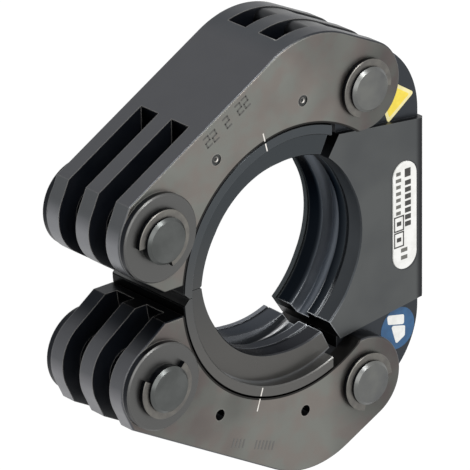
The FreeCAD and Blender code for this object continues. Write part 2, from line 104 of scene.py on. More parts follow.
def camera_axes(azimuth, elevation, roll):
    """Right, up and back of a camera round the standing collar, in the frame's axes."""
    around, above, rolled = (math.radians(angle) for angle in (azimuth, elevation, roll))
    level = math.cos(above)
    back = Vector((math.sin(around) * level, -math.cos(around) * level, math.sin(above)))
    right = Vector((math.cos(around), math.sin(around), 0))
    up = back.cross(right)
    rolled_right = right * math.cos(rolled) + up * math.sin(rolled)
    rolled_up = up * math.cos(rolled) - right * math.sin(rolled)
    return lie_down(rolled_right), lie_down(rolled_up), lie_down(back)


right, up, back = camera_axes(VIEW_AZIMUTH, VIEW_ELEVATION, VIEW_ROLL)
camera_data = bpy.data.cameras.new("camera")
camera_data.sensor_width = SENSOR
camera_data.lens = LENS
camera_data.clip_start, camera_data.clip_end = CLIP
camera = bpy.data.objects.new("camera", camera_data)
turn = Matrix((right, up, back)).transposed().to_4x4()
camera.matrix_world = Matrix.Translation((VIEW_TARGET + back * VIEW_DISTANCE) * MM) @ turn
bpy.context.scene.collection.objects.link(camera)
bpy.context.scene.camera = camera
print("camera looks along", [round(-value, 3) for value in back])

# %% [markdown]
# ## Colours and nodes
# Colours are picked from a picture, so they are sRGB values in hex.  Shaders work with
# linear light, so one function turns the one into the other.  One small function adds a
# node with its settings and its links: a material is then a short list of calls.


# %% Colour and node helpers
def linear(code):
    """Linear RGBA of an sRGB colour written as hex."""
    channels = [int(code[at:at + 2], 16) / 255 for at in (1, 3, 5)]
    curved = [c / 12.92 if c <= 0.04045 else ((c + 0.055) / 1.055) ** 2.4 for c in channels]
    return (*curved, 1.0)


def add(tree, kind, inputs=None, stops=(), **settings):
    """Adds a node.  inputs maps a socket's name or number to a value or to an output socket,
    and stops are a colour ramp's pairs of place and colour."""
    node = tree.nodes.new(kind)
    for name, value in settings.items():
        setattr(node, name, value)
    for key, value in (inputs or {}).items():
        socket = node.inputs[key]
        if isinstance(value, bpy.types.NodeSocket):
            tree.links.new(value, socket)
        else:
            socket.default_value = value
    for index, (place, colour) in enumerate(stops):
        elements = node.color_ramp.elements
        element = elements[index] if index < len(elements) else elements.new(place)
        element.position = place
        element.color = linear(colour)
    return node


def material(name):
    """New material with an empty node tree."""
    made = bpy.data.materials.new(name)
    made.use_nodes = True
    made.node_tree.nodes.clear()
    return made


print("helpers ready; mid grey #808080 is", round(linear("#808080")[0], 3), "in linear light")

# %% [markdown]
# ## Floor, background and lamps
# The photograph is a cut-out on white.  A real floor in shade would turn grey behind the bore,
# so the floor shows the camera mostly its own white, and keeps just enough of the real
# shading for a soft shadow.  Polished steel shows what is around it, so mirror rays see the
# same white, which lets a steel's colour show as it is written.  One small softbox over the
# collar's back draws the short bright lines on the rounded edges, one beside it reaches into
# the lower liner, and a large one beside the camera lights the labels.

# %% Floor
FLOOR_SIZE = 6000.0
FLOOR_WHITE = "#FFFFFF"
FLOOR_MATT = "#E6E6E6"
FLOOR_GLOW = 1.08
SHADOW_SHARE = 0.08              # how much of the real shading the floor keeps


def seen_directly(tree):
    """1 for camera, mirror and transmission rays, 0 for soft light."""
    path = add(tree, "ShaderNodeLightPath")
    either = add(tree, "ShaderNodeMath", {0: path.outputs["Is Camera Ray"],
                                          1: path.outputs["Is Glossy Ray"]}, operation="MAXIMUM")
    every = add(tree, "ShaderNodeMath", {0: either.outputs[0],
                                         1: path.outputs["Is Transmission Ray"]}, operation="MAXIMUM")
    return every.outputs[0]


def floor_material():
    """Matt white floor that glows for rays that look straight at it."""
    made = material("white_studio_floor")
    tree = made.node_tree
    matt = add(tree, "ShaderNodeBsdfDiffuse", {"Color": linear(FLOOR_MATT)})
    glow = add(tree, "ShaderNodeEmission", {"Color": linear(FLOOR_WHITE), "Strength": FLOOR_GLOW})
    share = add(tree, "ShaderNodeMath", {0: seen_directly(tree), 1: 1.0 - SHADOW_SHARE},
                operation="MULTIPLY")
    mix = add(tree, "ShaderNodeMixShader", {0: share.outputs[0], 1: matt.outputs[0], 2: glow.outputs[0]})
    add(tree, "ShaderNodeOutputMaterial", {"Surface": mix.outputs[0]})
    return made


bpy.ops.mesh.primitive_plane_add(size=FLOOR_SIZE * MM, location=(0, 0, FLOOR * MM))
floor = bpy.context.object
floor.name = "floor"
floor.data.materials.append(floor_material())
print("floor at", round(FLOOR, 2), "mm")

# %% World
WORLD_LEVEL = 0.62
WORLD_TINT = "#F4F6FA"           # a very light blue, as daylight through a diffuser
world = bpy.data.worlds.new("studio")
bpy.context.scene.world = world
world.use_nodes = True
world.node_tree.nodes.clear()
world_white = add(world.node_tree, "ShaderNodeBackground", {"Color": linear(FLOOR_WHITE), "Strength": 1.0})
world_soft = add(world.node_tree, "ShaderNodeBackground", {"Color": linear(WORLD_TINT),
                                                           "Strength": WORLD_LEVEL})
world_mix = add(world.node_tree, "ShaderNodeMixShader",
                {0: seen_directly(world.node_tree), 1: world_soft.outputs[0], 2: world_white.outputs[0]})
add(world.node_tree, "ShaderNodeOutputWorld", {"Surface": world_mix.outputs[0]})
print("world lights at", WORLD_LEVEL)

# %% Lamps
LAMPS = {
    # name: direction from the collar, distance and size in mm, power in watts
    "back_softbox": ((0.02, 0.79, 0.61), 900.0, 170.0, 3.0),
    "bore_softbox": ((0.39, 0.13, 0.91), 900.0, 120.0, 1.0),
    "front_softbox": ((-0.55, 0.35, 0.75), 1000.0, 700.0, 3.0),
}


def lamp(name, towards, distance, size, power):
    """Square area lamp that shines at the middle of the collar."""
    data = bpy.data.lights.new(name, "AREA")
    data.shape = "SQUARE"
    data.size = size * MM
    data.energy = power
    made = bpy.data.objects.new(name, data)
    direction = Vector(towards).normalized()
    made.location = direction * distance * MM
    made.rotation_mode = "QUATERNION"
    made.rotation_quaternion = direction.to_track_quat("Z", "Y")
    bpy.context.scene.collection.objects.link(made)


for name, (towards, distance, size, power) in LAMPS.items():
    lamp(name, towards, distance, size, power)
print("lamps:", ", ".join(LAMPS))

# %% [markdown]
# ## Finishes
# Everything here is alloy steel, and what differs is how it was worked.  The jaws' faces are
# ground and burnished to a warm brown grey, their backs and slots keep the darker skin of the
# blacking bath.  The block is blacked and evenly grey, the liners are hardened and polished
# dark on their lands, and the pins are turned.  A metal keeps its default IOR, its colour sits
# in the base colour, and its roughness says how it was worked.  Much of the light and shade on
# these steels is painted into that base colour: on the jaws' faces and walls, on edges, in the
# bore, and on the sides of the block, the pins and the rings.
#
# A finish often depends on where a surface lies or which way it faces, so a few masks come
# first.  Each is a number from 0 to 1 that is worked out from the object's own coordinates,
# with its limits in millimetres, or from its normal.


# %% Masks that the steels share
FLAT_FACING = (0.80, 0.97)       # cosines between which a surface turns from a side to a face
WORN_COSINES = (0.98, 0.80)      # rounded against true normal, where edge wear and its painted highlight start and are full
CLOUD_SPAN = (0.3, 0.7)          # noise values that most of a soft cloud lies between


def coordinates(tree):
    """Object coordinates in metres, and their X, Y and Z."""
    source = add(tree, "ShaderNodeTexCoord").outputs["Object"]
    return source, add(tree, "ShaderNodeSeparateXYZ", {0: source}).outputs


def step(tree, value, start, end):
    """0 up to a start and 1 from an end on, with a smooth passage between them, in mm."""
    return add(tree, "ShaderNodeMapRange", {0: value, 1: start * MM, 2: end * MM},
               interpolation_type="SMOOTHSTEP").outputs[0]


def combine(tree, operation, first, second):
    """Result of a math operation on two numbers or masks."""
    return add(tree, "ShaderNodeMath", {0: first, 1: second}, operation=operation).outputs[0]


def facing(tree, direction, start, end):
    """1 where the surface faces a direction, from the cosines where that starts and is full."""
    normal = add(tree, "ShaderNodeTexCoord").outputs["Normal"]
    cosine = add(tree, "ShaderNodeVectorMath", {0: normal, 1: direction}, operation="DOT_PRODUCT")
    return add(tree, "ShaderNodeMapRange", {0: cosine.outputs["Value"], 1: start, 2: end}).outputs[0]


def flat(tree):
    """1 where the surface faces along the bore axis, to the front or to the rear."""
    front = facing(tree, (0, 0, 1), *FLAT_FACING)
    rear = facing(tree, (0, 0, -1), *FLAT_FACING)
    return combine(tree, "MAXIMUM", front, rear)


def axis_distance(tree, parts):
    """Distance from the bore axis, in metres."""
    across = add(tree, "ShaderNodeCombineXYZ", {0: parts["X"], 1: parts["Y"]})
    return add(tree, "ShaderNodeVectorMath", {0: across.outputs[0]}, operation="LENGTH").outputs["Value"]


def near(tree, position, place, inner, outer):
    """1 within an inner distance in mm of a place, 0 beyond an outer one."""
    distance = add(tree, "ShaderNodeVectorMath", {0: position, 1: [value * MM for value in place]},
                   operation="DISTANCE").outputs["Value"]
    return step(tree, distance, outer, inner)


def mixed(tree, factor, first, second):
    """Second colour over the first one, by a mask.  A colour is hex or an output socket."""
    pair = [linear(colour) if isinstance(colour, str) else colour for colour in (first, second)]
    return add(tree, "ShaderNodeMix", {0: factor, 6: pair[0], 7: pair[1]}, data_type="RGBA").outputs[2]


def edge_wear_and_highlight(tree, radius, weight):
    """Mask of the sharp edges, where handling has rubbed the blacking thin and a painted highlight lies."""
    rounded = add(tree, "ShaderNodeBevel", {"Radius": radius * MM}, samples=4)
    true = add(tree, "ShaderNodeNewGeometry")
    cosine = add(tree, "ShaderNodeVectorMath", {0: rounded.outputs[0], 1: true.outputs["Normal"]},
                 operation="DOT_PRODUCT")
    return add(tree, "ShaderNodeMapRange", {0: cosine.outputs["Value"], 1: WORN_COSINES[0],
                                            2: WORN_COSINES[1], 3: 0.0, 4: weight}).outputs[0]


def varied(tree, clouds, low, high):
    """Number that follows soft clouds from a low value to a high one."""
    return add(tree, "ShaderNodeMapRange", {0: clouds, 1: CLOUD_SPAN[0], 2: CLOUD_SPAN[1],
                                            3: low, 4: high}).outputs[0]


print("masks ready")

# %% [markdown]
# ### Jaw steel
# The ground faces run from a painted light to a painted dark tone across the collar, with
# painted shade in a few places, and each tone has a brownish and a greenish version that drift
# into each other over a few millimetres.

# %% Ground faces of the jaws
FACE_BROWN = ("#575150", "#7B7671")
FACE_GREEN = ("#585855", "#797A75")
FACE_PAINTED_LIGHT_FADE = (2.0, 38.0)          # mm along X, from the painted light side to the painted dark one
FACE_PAINTED_SHADES = {                  # painted shade: place, inner and outer distance in mm, and how dark
    "lower hook": ((-46.0, -20.0, JAW_FACE), 6.0, 48.0, 0.75),
    "hump": ((7.0, 62.0, JAW_FACE), 3.0, 17.0, 0.3),
    "lower seat": ((-20.0, -36.0, JAW_FACE), 2.0, 9.0, 0.35),
}
CAST_SIZE = 7.0                  # mm across a cloud of the brown and green cast
CAST_SPAN = (0.4, 0.6)
MOTTLE_SIZE = 2.2 * CAST_SIZE    # and across a lighter or darker patch


def jaw_face(tree, position, parts, clouds):
    """Warm brown grey in two casts, and the clouds say where each cast lies.  The tone holds painted light
    and shade.
    """
    mottle = add(tree, "ShaderNodeTexNoise", {"Vector": position, "Scale": 1 / (MOTTLE_SIZE * MM),
                                              "Detail": 2.0})
    tone = combine(tree, "SUBTRACT", 1.0, step(tree, parts["X"], *FACE_PAINTED_LIGHT_FADE))
    for place, inner, outer, share in FACE_PAINTED_SHADES.values():
        shade = combine(tree, "MULTIPLY", near(tree, position, place, inner, outer), share)
        tone = combine(tree, "SUBTRACT", tone, shade)
    tone = combine(tree, "ADD", tone, combine(tree, "SUBTRACT", mottle.outputs["Fac"], 0.5))
    brown, green = (add(tree, "ShaderNodeValToRGB", {0: tone}, stops=((0.0, dark), (1.0, light))).outputs[0]
                    for dark, light in (FACE_BROWN, FACE_GREEN))
    cast = add(tree, "ShaderNodeMapRange", {0: clouds, 1: CAST_SPAN[0], 2: CAST_SPAN[1]}).outputs[0]
    return mixed(tree, cast, brown, green)


print("shaded places on the jaws' faces:", ", ".join(FACE_PAINTED_SHADES))

# %% [markdown]
# The jaws' walls get painted light and shade by the way they face: those of a blacked wall
# that curves out of the light.  Beside the mouth and at the ends of the slots they are painted
# nearly black, as the shade where little light gets in.

# %% Walls of the jaws
UPPER_BACK_FROM = (-0.966, -0.259, 0)    # direction from which the upper back's painted light is counted
# painted light and shade of the backs, by how far a wall faces that direction
UPPER_BACK_PAINTED_LIGHT = ((0.30, "#303237"), (0.52, "#404347"), (0.62, "#4E4F52"), (0.79, "#4A4B4D"), (0.90, "#505254"),
              (0.95, "#68696C"), (0.985, "#7A7B7E"))
LOWER_BACK_FROM = (-0.906, -0.423, 0)
LOWER_BACK_PAINTED_LIGHT = ((0.54, "#424346"), (0.67, "#4A4B4E"), (0.79, "#505154"), (0.91, "#58595C"), (0.965, "#6E6E71"),
              (0.99, "#7B7B7E"))
BACKS_MEET = (-5.0, 5.0)         # mm along Y
MOUTH_SHADE_COLOUR = "#15181D"
MOUTH_HALF_HEIGHT = (6.5, 12.0)  # the walls beside the gap between the jaws get painted shade
MOUTH_REACH = (-30.0, -36.0)     # mm along X, where those walls start
# blacking skin in the slots, darkened further by painted shade
SLOT_SKIN_AND_SHADE_COLOUR = "#0A0D13"
POCKET_START = (-40.0, -36.0)    # mm along X; walls past it that face back along the slots get painted shade
POCKET_FACING = (0.80, 0.85)
BOSS_SIDE_SHADE_COLOUR = "#1C1E22"
BOSS_FOOT = 0.2                  # mm above the jaw's face, where the painted shade on the boss's side starts


def jaw_side(tree, parts, height):
    """Colour of every wall, with painted light and shade: backs, mouth, ends of the slots and sides of the
    bosses.
    """
    upper_facing = facing(tree, UPPER_BACK_FROM, -1.0, 1.0)
    lower_facing = facing(tree, LOWER_BACK_FROM, -1.0, 1.0)
    upper_back = add(tree, "ShaderNodeValToRGB", {0: upper_facing}, stops=UPPER_BACK_PAINTED_LIGHT).outputs[0]
    lower_back = add(tree, "ShaderNodeValToRGB", {0: lower_facing}, stops=LOWER_BACK_PAINTED_LIGHT).outputs[0]
    side = mixed(tree, step(tree, parts["Y"], *BACKS_MEET), lower_back, upper_back)
    beside = add(tree, "ShaderNodeMath", {0: parts["Y"]}, operation="ABSOLUTE").outputs[0]
    at_mouth = combine(tree, "MULTIPLY", step(tree, beside, *reversed(MOUTH_HALF_HEIGHT)),
                       step(tree, parts["X"], *MOUTH_REACH))
    side = mixed(tree, at_mouth, side, MOUTH_SHADE_COLOUR)
    in_pocket = combine(tree, "MULTIPLY", facing(tree, (-1, 0, 0), *POCKET_FACING),
                        step(tree, parts["X"], *POCKET_START))
    side = mixed(tree, in_pocket, side, SLOT_SKIN_AND_SHADE_COLOUR)
    return mixed(tree, step(tree, height, JAW_FACE, JAW_FACE + BOSS_FOOT), side, BOSS_SIDE_SHADE_COLOUR)


print("tones of the upper and lower back:", len(UPPER_BACK_PAINTED_LIGHT), len(LOWER_BACK_PAINTED_LIGHT))

# %% [markdown]
# The finish puts the faces and walls together.  A worn edge is lighter than the rest, partly
# from wear and partly as a painted highlight, and a little rougher, so that a lamp leaves no
# sharp line on it.  Over the hump a painted glint makes it brightest, and the jaw's edge at
# the seat gets painted shade.  Fine grinding lines are a bump, and the insides of the slots are
# duller.

# %% Jaw steel
INSIDE_DEPTH = (1.5, 0.7)        # mm under the face, where the inside starts
INSIDE_MATT = 0.85               # how far the inside has lost the shine of metal
BOSS_COLOUR = "#5C5C5B"
BOSS_EDGE_WEAR_AND_HIGHLIGHT_COLOUR = "#8C8C8A"
BOSS_TOP = (1.6, 1.75)           # mm above the jaw's face
BOSS_EDGE_WEAR_AND_HIGHLIGHT = (0.3, 0.3)           # radius of a worn edge in mm, and how strong its wear and painted highlight are
# lighter edges of the jaws, partly wear and partly painted highlight
JAW_EDGE_WEAR_AND_HIGHLIGHT_COLOUR = "#A4A29E"
JAW_EDGE_WEAR_AND_HIGHLIGHT = (0.5, 0.6)
JAW_EDGE_ROUGHENING = 0.6
# painted glint on the rounded edge over the hump
HUMP_GLINT_PLACE = (-2.0, 62.1, JAW_FACE)
HUMP_GLINT_REACH = (3.0, 9.0)
HUMP_GLINT_SPREAD = (0.7, 1.0)
HUMP_GLINT_COLOUR = "#DCDAD6"
# painted shade along the seat, where the liner's flange meets the jaw
SEAT_SHADE_COLOUR = "#2E2D2C"
SEAT_SHADE = (0.55, 0.45)         # mm beyond the seat, where its painted shade ends
JAW_ROUGHNESS = (0.34, 0.44)
GRIND_SPACING = 0.35             # mm between grinding lines; real ones are finer
GRIND_STRETCH = 0.06             # the lines are this much coarser along X
GRIND_DEPTH = 0.05
GRIND_STRENGTH = 0.05


def grinding(tree, position):
    """Normal with fine grinding lines along X."""
    stretched = add(tree, "ShaderNodeMapping", {"Vector": position, "Scale": (GRIND_STRETCH, 1.0, 1.0)})
    lines = add(tree, "ShaderNodeTexNoise", {"Vector": stretched.outputs[0],
                                             "Scale": 1 / (GRIND_SPACING * MM), "Detail": 2.0})
    return add(tree, "ShaderNodeBump", {"Strength": GRIND_STRENGTH, "Distance": GRIND_DEPTH * MM,
                                        "Height": lines.outputs["Fac"]}).outputs[0]


def jaw_steel():
    """Ground and burnished alloy steel: satin, warm grey, with a brown and green cast."""
    made = material("ground_burnished_steel")
    tree = made.node_tree
    position, parts = coordinates(tree)
    clouds = add(tree, "ShaderNodeTexNoise", {"Vector": position, "Scale": 1 / (CAST_SIZE * MM),
                                              "Detail": 3.0}).outputs["Fac"]
    height = add(tree, "ShaderNodeMath", {0: parts["Z"]}, operation="ABSOLUTE").outputs[0]
    outer = step(tree, height, *(JAW_FACE - depth for depth in INSIDE_DEPTH))
    across = mixed(tree, outer, SLOT_SKIN_AND_SHADE_COLOUR, jaw_face(tree, position, parts, clouds))
    colour = mixed(tree, flat(tree), jaw_side(tree, parts, height), across)
    edge = edge_wear_and_highlight(tree, *JAW_EDGE_WEAR_AND_HIGHLIGHT)
    colour = mixed(tree, edge, colour, JAW_EDGE_WEAR_AND_HIGHLIGHT_COLOUR)
    glint = combine(tree, "MULTIPLY", edge_wear_and_highlight(tree, *HUMP_GLINT_SPREAD),
                    near(tree, position, HUMP_GLINT_PLACE, *HUMP_GLINT_REACH))
    colour = mixed(tree, glint, colour, HUMP_GLINT_COLOUR)
    boss = mixed(tree, edge_wear_and_highlight(tree, *BOSS_EDGE_WEAR_AND_HIGHLIGHT), BOSS_COLOUR, BOSS_EDGE_WEAR_AND_HIGHLIGHT_COLOUR)
    colour = mixed(tree, step(tree, height, *(JAW_FACE + rise for rise in BOSS_TOP)), colour, boss)
    at_seat = step(tree, axis_distance(tree, parts), *(SEAT_RADIUS + width for width in SEAT_SHADE))
    colour = mixed(tree, at_seat, colour, SEAT_SHADE_COLOUR)
    inside = combine(tree, "MULTIPLY", flat(tree), combine(tree, "SUBTRACT", 1.0, outer))
    metal = combine(tree, "SUBTRACT", 1.0, combine(tree, "MULTIPLY", inside, INSIDE_MATT))
    rough = varied(tree, clouds, *JAW_ROUGHNESS)
    rougher = combine(tree, "ADD", rough, combine(tree, "MULTIPLY", edge, JAW_EDGE_ROUGHENING))
    shader = add(tree, "ShaderNodeBsdfPrincipled",
                 {"Base Color": colour, "Metallic": metal, "Roughness": rougher,
                  "Normal": grinding(tree, position)})
    add(tree, "ShaderNodeOutputMaterial", {"Surface": shader.outputs[0]})
    return made


print("jaw steel is defined")

# %% [markdown]
# ### Block and liner steel
# Both are blacked, and both carry the press profile.  Its lands and grooves differ in tone by
# their depth behind the front face, as painted reflections and painted shade over the dark
# steel, so one function returns the bore's colour for both.

# %% Press profile
BORE_LIMIT = (32.8, 32.6)        # mm from the axis, just past the deepest groove
BORE_LENGTH = 24.4
BORE_FACING = (0.96, 0.995)      # cosines past which a surface in the bore counts as an end face
BLOCK_BORE_PAINTED_LIGHT = (
    # mm behind the front face, and the colour there with its painted reflection and shade
    (0.0, "#3D4043"), (5.0, "#3F4245"), (5.3, "#121417"), (5.9, "#121417"), (6.2, "#30353A"),
    (7.6, "#22262B"), (9.0, "#14181D"), (10.5, "#15191E"), (12.0, "#3A3F45"), (13.4, "#767C84"),
    (15.6, "#7E848C"), (16.2, "#44494F"), (17.0, "#22262B"), (17.8, "#11151A"), (21.3, "#0F1318"),
    (22.4, "#3E4244"),
)
LINER_BORE_PAINTED_LIGHT = (
    (0.0, "#38393C"), (5.0, "#38393C"), (5.3, "#222326"), (5.9, "#222326"), (6.2, "#46484C"),
    (9.0, "#44464A"), (9.4, "#4E5156"), (15.6, "#5A5D61"), (16.4, "#4A4C50"), (17.0, "#42454A"),
    (21.3, "#46494E"), (21.9, "#2A2C30"), (22.4, "#72757A"),
)


def bore_painted_light(tree, parts, bands):
    """Colour of the press profile, with its painted reflections and shade, by the distance behind the front
    face.
    """
    depth = add(tree, "ShaderNodeMapRange", {0: parts["Z"], 1: BLOCK_FACE * MM,
                                             2: (BLOCK_FACE - BORE_LENGTH) * MM})
    stops = [(place / BORE_LENGTH, colour) for place, colour in bands]
    return add(tree, "ShaderNodeValToRGB", {0: depth.outputs[0]}, stops=stops).outputs[0]


print("bore bands:", len(BLOCK_BORE_PAINTED_LIGHT), "on the block and", len(LINER_BORE_PAINTED_LIGHT), "on the liners")

# %% [markdown]
# Two bright lines run round the lower liner's groove near the block.  They are reflections
# that the lamps of this scene don't give, so they are drawn in the finish.

# %% Bright lines in the lower liner
STREAKS = (
    # distance from the axis, height and half width in mm
    (31.05, -4.3, 0.5),
    (31.7, -3.6, 0.8),
)
STREAK_PLACE = (9.3, -30.2, -4.2)
STREAK_REACH = (4.0, 12.0)
STREAK_COLOUR = "#F6F6F6"
STREAK_SHEEN = 0.8               # the share of a bright line that shines whichever way it is seen


def streaks(tree, position, parts, distance):
    """Mask of the bright lines that run round the lower liner's groove near its end."""
    section = add(tree, "ShaderNodeCombineXYZ", {0: distance, 1: parts["Z"]}).outputs[0]
    lines = 0.0
    for radius, height, half_width in STREAKS:
        lines = combine(tree, "ADD", lines, near(tree, section, (radius, height, 0), 0.0, half_width))
    return combine(tree, "MULTIPLY", lines, near(tree, position, STREAK_PLACE, *STREAK_REACH))


print("bright lines:", len(STREAKS))

# %% [markdown]
# Outside the bore, the block's face is an even dark grey, and its tongues are darker, while
# its sides and its right edge are in painted shade.  A liner's flange is a little lighter than
# its band, with a painted highlight along the step between them and painted shade on the rim
# where the flange meets the jaw.

# %% Outsides of the block and the liners
BLOCK_FACE_COLOURS = ("#515354", "#595B5B")
# painted shade on the block's sides, ledge and right edge
BLOCK_SIDE_SHADE_COLOUR = "#303133"
BLOCK_CLOUD_SIZE = 16.667        # mm across a lighter or darker patch
BLOCK_SHADE = (47.8, 49.8)       # mm along X, where painted shade darkens the face towards its right edge
TONGUE_COLOUR = "#3B3E42"
TONGUE_DROP = (1.2, 0.8)         # mm under the block's face, where the tongue's colour starts
LINER_FLANGE_COLOURS = ("#484C4F", "#605F5D")
LINER_BAND_COLOURS = ("#3F4346", "#5A5957")
LINER_WARMER = (25.0, -25.0)     # mm along Y, from the bluish tone to the warm one
# painted shade on the flange's rim, at the gap to the jaw
FLANGE_RIM_SHADE_COLOUR = "#0C0D0E"
FLANGE_RIM_SHADE = (0.35, 0.25)        # mm inside the flange's edge, where its painted shade starts
STEP_EDGE = 0.1                  # mm over which the band's tone turns into the flange's
# painted highlight along the step between band and flange
STEP_HIGHLIGHT_COLOUR = "#7A7B7C"
STEP_HIGHLIGHT = ((-0.6, -0.35), (0.1, -0.1))    # mm from the step, where the painted highlight starts and ends


def block_outside(tree, position, parts, distance):
    """Even dark grey face, a darker tongue behind it, and sides and right edge in painted shade."""
    slow = add(tree, "ShaderNodeTexNoise", {"Vector": position, "Scale": 1 / (BLOCK_CLOUD_SIZE * MM),
                                             "Detail": 2.0})
    face = add(tree, "ShaderNodeValToRGB", {0: slow.outputs["Fac"]},
               stops=((0.35, BLOCK_FACE_COLOURS[0]), (0.65, BLOCK_FACE_COLOURS[1]))).outputs[0]
    height = add(tree, "ShaderNodeMath", {0: parts["Z"]}, operation="ABSOLUTE").outputs[0]
    face = mixed(tree, step(tree, parts["X"], *BLOCK_SHADE), face, BLOCK_SIDE_SHADE_COLOUR)
    front = mixed(tree, step(tree, height, *(BLOCK_FACE - drop for drop in TONGUE_DROP)), TONGUE_COLOUR, face)
    return mixed(tree, flat(tree), BLOCK_SIDE_SHADE_COLOUR, front)


def liner_outside(tree, position, parts, distance):
    """Bluish above and warmer below, the flange a little lighter than the band."""
    warmer = step(tree, parts["Y"], *LINER_WARMER)
    flange = mixed(tree, warmer, *LINER_FLANGE_COLOURS)
    band = mixed(tree, warmer, *LINER_BAND_COLOURS)
    flange = mixed(tree, step(tree, distance, *(FLANGE_RADIUS - width for width in FLANGE_RIM_SHADE)), flange,
                   FLANGE_RIM_SHADE_COLOUR)
    front = mixed(tree, step(tree, distance, STEP_RADIUS - STEP_EDGE, STEP_RADIUS), band, flange)
    starts, ends = (step(tree, distance, *(STEP_RADIUS + beside for beside in pair)) for pair in STEP_HIGHLIGHT)
    line = combine(tree, "MULTIPLY", starts, ends)
    return mixed(tree, line, front, STEP_HIGHLIGHT_COLOUR)


print("block and liner tones are defined")

# %% [markdown]
# The finish puts the bore inside the outside.  Dark polished steel turns bright where it is
# seen at a slant, and inside the bore there is little to reflect, so its tint is held down
# there.

# %% Blacked steel
BORE_EDGE_TINT = "#AAAAAA"       # the mirror of the steel at a slant, inside the bore
# lighter edges on the blacked steel, partly wear and partly painted highlight
BLACKED_EDGE_WEAR_AND_HIGHLIGHT_COLOUR = "#8F9294"
BLACKED_EDGE_ROUGHENING = 1.5
BLACKED_EDGE_WEAR_AND_HIGHLIGHT = (0.3, 0.22)
BLACKED_CLOUD_SIZE = 14.286      # mm across a patch of duller or brighter blacking
LOWER_END_HIGHLIGHT_COLOUR = "#E8ECF0"
LOWER_END_HIGHLIGHT_PLACE = (15.8, -24.2, 2.0)    # painted highlight on the edges at the block's lower end
LOWER_END_HIGHLIGHT_REACH = (5.0, 13.0)
LOWER_END_HIGHLIGHT_SPREAD = (0.6, 1.0)


def blacked_steel(name, outside, bands, roughness):
    """Blacked steel with the press profile; outside makes the colour of all other surfaces."""
    made = material(name)
    tree = made.node_tree
    position, parts = coordinates(tree)
    distance = axis_distance(tree, parts)
    sideways = combine(tree, "SUBTRACT", 1.0, facing(tree, (0, 0, 1), *BORE_FACING))
    inside = combine(tree, "MULTIPLY", step(tree, distance, *BORE_LIMIT), sideways)
    bright_lines = streaks(tree, position, parts, distance)
    bore = mixed(tree, bright_lines, bore_painted_light(tree, parts, bands), STREAK_COLOUR)
    colour = mixed(tree, inside, outside(tree, position, parts, distance), bore)
    edge = edge_wear_and_highlight(tree, *BLACKED_EDGE_WEAR_AND_HIGHLIGHT)
    colour = mixed(tree, edge, colour, BLACKED_EDGE_WEAR_AND_HIGHLIGHT_COLOUR)
    bright = combine(tree, "MULTIPLY", edge_wear_and_highlight(tree, *LOWER_END_HIGHLIGHT_SPREAD),
                     near(tree, position, LOWER_END_HIGHLIGHT_PLACE, *LOWER_END_HIGHLIGHT_REACH))
    colour = mixed(tree, bright, colour, LOWER_END_HIGHLIGHT_COLOUR)
    clouds = add(tree, "ShaderNodeTexNoise", {"Vector": position, "Scale": 1 / (BLACKED_CLOUD_SIZE * MM),
                                              "Detail": 4.0}).outputs["Fac"]
    rough = varied(tree, clouds, roughness - 0.05, roughness + 0.06)
    rougher = combine(tree, "ADD", rough, combine(tree, "MULTIPLY", edge, BLACKED_EDGE_ROUGHENING))
    metal = combine(tree, "SUBTRACT", 1.0, combine(tree, "MULTIPLY", bright_lines, STREAK_SHEEN))
    tint = mixed(tree, combine(tree, "SUBTRACT", inside, bright_lines), "#FFFFFF", BORE_EDGE_TINT)
    shader = add(tree, "ShaderNodeBsdfPrincipled",
                 {"Base Color": colour, "Metallic": metal, "Roughness": rougher,
                  "Specular Tint": tint})
    add(tree, "ShaderNodeOutputMaterial", {"Surface": shader.outputs[0]})
    return made


print("blacked steel is defined")

# %% [markdown]
# ### Pin and ring steel
# The pins are turned from bar and hardened, and the snap rings are spring steel.  Only their
# ends and faces catch the light, and their sides are painted dark as shade, so one function
# makes all three finishes from two near tones, a side colour in painted shade and a roughness.

# %% Pin and ring steel
PIN_FACING = (0.2, 0.6)          # cosines between which a side turns into an end
HOOK_PIN_COLOURS = ("#505251", "#5C5E5D")
HINGE_PIN_COLOURS = ("#626363", "#6F706D")
# painted shade on the pins' sides
PIN_SIDE_SHADE_COLOUR = "#191B20"
RING_COLOURS = ("#656360", "#72706B")
# painted shade on the rings' sides
RING_SIDE_SHADE_COLOUR = "#17191D"


def turned_steel(name, colours, side, roughness, cloud_size):
    """Plain steel for the turned pieces: two near tones on the ends, and a side in painted shade."""
    made = material(name)
    tree = made.node_tree
    position = coordinates(tree)[0]
    cloud = add(tree, "ShaderNodeTexNoise", {"Vector": position, "Scale": 1 / (cloud_size * MM),
                                             "Detail": 3.0})
    end = add(tree, "ShaderNodeValToRGB", {0: cloud.outputs["Fac"]},
              stops=((0.35, colours[0]), (0.65, colours[1])))
    toward = combine(tree, "MAXIMUM", facing(tree, (0, 0, 1), *PIN_FACING),
                     facing(tree, (0, 0, -1), *PIN_FACING))
    colour = mixed(tree, toward, side, end.outputs[0])
    rough = varied(tree, cloud.outputs["Fac"], roughness - 0.05, roughness + 0.05)
    shader = add(tree, "ShaderNodeBsdfPrincipled",
                 {"Base Color": colour, "Metallic": 1.0, "Roughness": rough})
    add(tree, "ShaderNodeOutputMaterial", {"Surface": shader.outputs[0]})
    return made


print("turned steel is defined")

